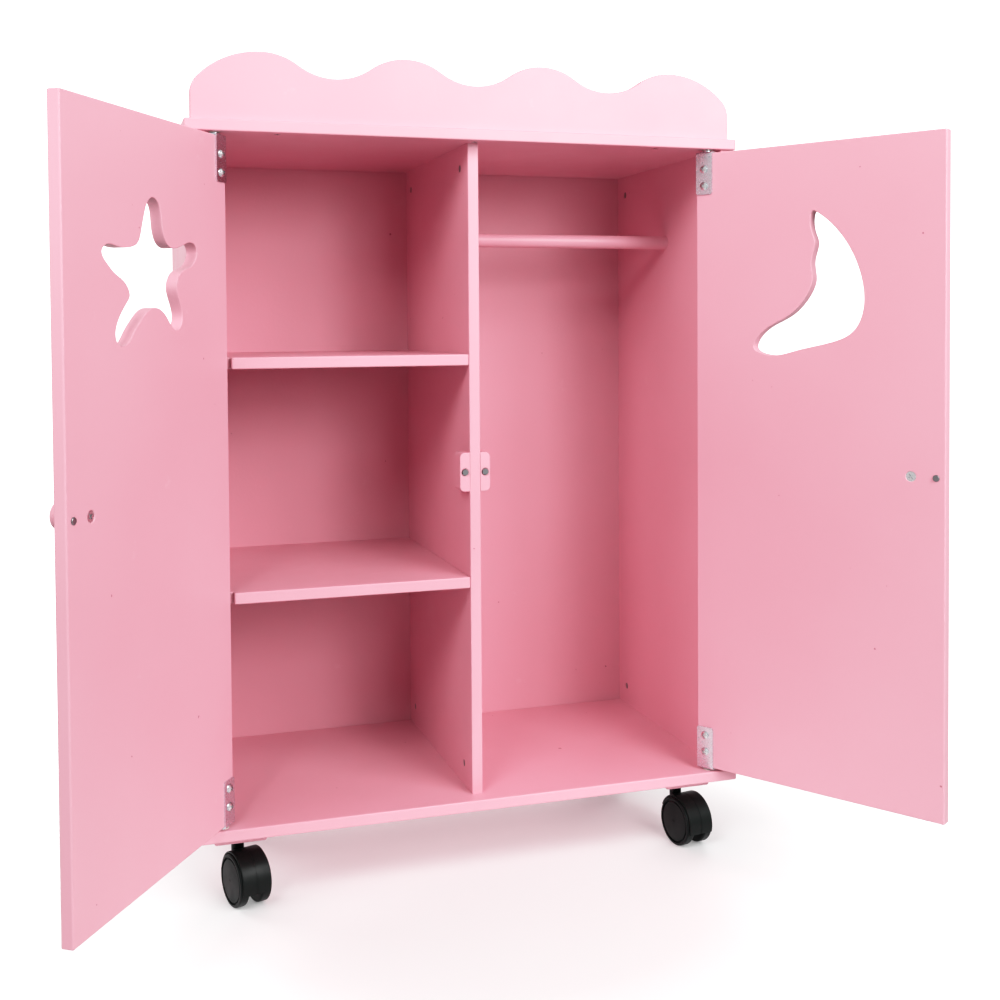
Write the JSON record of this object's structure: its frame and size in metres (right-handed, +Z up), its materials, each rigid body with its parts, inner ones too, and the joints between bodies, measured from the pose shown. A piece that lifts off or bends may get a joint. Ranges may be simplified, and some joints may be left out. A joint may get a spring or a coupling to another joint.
{
  "type": "doll's wardrobe",
  "caption": "Doll's wardrobe on castors with two opening doors, star and moon cut-outs, shelves, a divider, a hanging rail and a scalloped crown board.",
  "frame": {"origin": "on the floor, under the middle of the wardrobe's box with its doors open as modelled", "axes": "+Z up; +X to the right seen from the front; -Y towards the person who opens the doors"},
  "size_m": [0.6424, 0.3876, 0.6565],
  "materials": {
    "painted_mdf": "satin pink lacquer on MDF, slightly textured",
    "painted_hardboard": "satin pink lacquer on thin hardboard",
    "painted_turning": "satin pink lacquer on turned beech",
    "zinc_plate": "bright zinc plate",
    "screw_steel": "zinc-plated screw",
    "nut_steel": "dull zinc-plated steel",
    "magnet_nickel": "nickel-plated",
    "black_nylon": "moulded black nylon, satin",
    "wheel_nylon": "moulded black nylon, satin",
    "white_nylon": "moulded white nylon"
  },
  "bodies": {
    "cabinet": {"top_board": "painted_mdf", "bottom_board": "painted_mdf", "left_side_panel": "painted_mdf", "right_side_panel": "painted_mdf", "divider": "painted_mdf", "back_panel": "painted_hardboard", "upper_shelf": "painted_mdf", "lower_shelf": "painted_mdf", "hanging_rail": "painted_turning", "crown_board": "painted_mdf", "crown_screws": "screw_steel", "left_catch_block": "painted_mdf", "right_catch_block": "painted_mdf", "catch_magnets": "magnet_nickel", "top_board_bolts": "screw_steel", "bottom_board_bolts": "screw_steel", "barrel_nuts": "nut_steel", "shelf_screws": "screw_steel", "back_panel_nails": "screw_steel", "castor_plates": "painted_mdf", "castor_plate_screws": "screw_steel", "castor_sockets": "black_nylon", "hinge_bushes": "white_nylon"},
    "left_door_leaf": {"left_door": "painted_mdf", "left_knob": "painted_turning", "left_knob_screw": "screw_steel", "left_strike_pin": "magnet_nickel", "left_top_hinge_plate": "zinc_plate", "left_bottom_hinge_plate": "zinc_plate", "left_hinge_pins": "zinc_plate", "left_hinge_screws": "screw_steel"},
    "right_door_leaf": {"right_door": "painted_mdf", "right_knob": "painted_turning", "right_knob_screw": "screw_steel", "right_strike_pin": "magnet_nickel", "right_top_hinge_plate": "zinc_plate", "right_bottom_hinge_plate": "zinc_plate", "right_hinge_pins": "zinc_plate", "right_hinge_screws": "screw_steel"},
    "front_left_castor": {"front_left_castor_hood": "black_nylon", "front_left_castor_stem": "zinc_plate", "front_left_castor_axle": "zinc_plate"},
    "front_left_castor_left_wheel_body": {"front_left_castor_left_wheel": "wheel_nylon"},
    "front_left_castor_right_wheel_body": {"front_left_castor_right_wheel": "wheel_nylon"},
    "front_right_castor": {"front_right_castor_hood": "black_nylon", "front_right_castor_stem": "zinc_plate", "front_right_castor_axle": "zinc_plate"},
    "front_right_castor_left_wheel_body": {"front_right_castor_left_wheel": "wheel_nylon"},
    "front_right_castor_right_wheel_body": {"front_right_castor_right_wheel": "wheel_nylon"},
    "rear_left_castor": {"rear_left_castor_hood": "black_nylon", "rear_left_castor_stem": "zinc_plate", "rear_left_castor_axle": "zinc_plate"},
    "rear_left_castor_left_wheel_body": {"rear_left_castor_left_wheel": "wheel_nylon"},
    "rear_left_castor_right_wheel_body": {"rear_left_castor_right_wheel": "wheel_nylon"},
    "rear_right_castor": {"rear_right_castor_hood": "black_nylon", "rear_right_castor_stem": "zinc_plate", "rear_right_castor_axle": "zinc_plate"},
    "rear_right_castor_left_wheel_body": {"rear_right_castor_left_wheel": "wheel_nylon"},
    "rear_right_castor_right_wheel_body": {"rear_right_castor_right_wheel": "wheel_nylon"}
  },
  "joints": [
    {"name": "left_door_hinge", "type": "hinge", "parent": "cabinet", "child": "left_door_leaf", "pos_m": [-0.204, -0.02175, 0.069], "axis": [0, 0, 1], "range_deg": [-7, 123]},
    {"name": "right_door_hinge", "type": "hinge", "parent": "cabinet", "child": "right_door_leaf", "pos_m": [0.204, -0.02175, 0.069], "axis": [0, 0, 1], "range_deg": [-123, 7]},
    {"name": "front_left_castor_swivel", "type": "hinge", "parent": "cabinet", "child": "front_left_castor", "pos_m": [-0.19, 0.01325, 0.03], "axis": [0, 0, 1], "continuous": true},
    {"name": "front_left_castor_left_wheel_spin", "type": "hinge", "parent": "front_left_castor", "child": "front_left_castor_left_wheel_body", "pos_m": [-0.18532, -0.00205, 0.02], "axis": [0.9563, 0.2924, 0], "continuous": true},
    {"name": "front_left_castor_right_wheel_spin", "type": "hinge", "parent": "front_left_castor", "child": "front_left_castor_right_wheel_body", "pos_m": [-0.18532, -0.00205, 0.02], "axis": [0.9563, 0.2924, 0], "continuous": true},
    {"name": "front_right_castor_swivel", "type": "hinge", "parent": "cabinet", "child": "front_right_castor", "pos_m": [0.19, 0.01325, 0.03], "axis": [0, 0, 1], "continuous": true},
    {"name": "front_right_castor_left_wheel_spin", "type": "hinge", "parent": "front_right_castor", "child": "front_right_castor_left_wheel_body", "pos_m": [0.19278, -0.00251, 0.02], "axis": [0.9848, 0.1736, 0], "continuous": true},
    {"name": "front_right_castor_right_wheel_spin", "type": "hinge", "parent": "front_right_castor", "child": "front_right_castor_right_wheel_body", "pos_m": [0.19278, -0.00251, 0.02], "axis": [0.9848, 0.1736, 0], "continuous": true},
    {"name": "rear_left_castor_swivel", "type": "hinge", "parent": "cabinet", "child": "rear_left_castor", "pos_m": [-0.19, 0.16225, 0.03], "axis": [0, 0, 1], "continuous": true},
    {"name": "rear_left_castor_left_wheel_spin", "type": "hinge", "parent": "rear_left_castor", "child": "rear_left_castor_left_wheel_body", "pos_m": [-0.18349, 0.14763, 0.02], "axis": [0.9135, 0.4067, 0], "continuous": true},
    {"name": "rear_left_castor_right_wheel_spin", "type": "hinge", "parent": "rear_left_castor", "child": "rear_left_castor_right_wheel_body", "pos_m": [-0.18349, 0.14763, 0.02], "axis": [0.9135, 0.4067, 0], "continuous": true},
    {"name": "rear_right_castor_swivel", "type": "hinge", "parent": "cabinet", "child": "rear_right_castor", "pos_m": [0.19, 0.16225, 0.03], "axis": [0, 0, 1], "continuous": true},
    {"name": "rear_right_castor_left_wheel_spin", "type": "hinge", "parent": "rear_right_castor", "child": "rear_right_castor_left_wheel_body", "pos_m": [0.18613, 0.14672, 0.02], "axis": [0.9703, -0.2419, 0], "continuous": true},
    {"name": "rear_right_castor_right_wheel_spin", "type": "hinge", "parent": "rear_right_castor", "child": "rear_right_castor_right_wheel_body", "pos_m": [0.18613, 0.14672, 0.02], "axis": [0.9703, -0.2419, 0], "continuous": true}
  ]
}
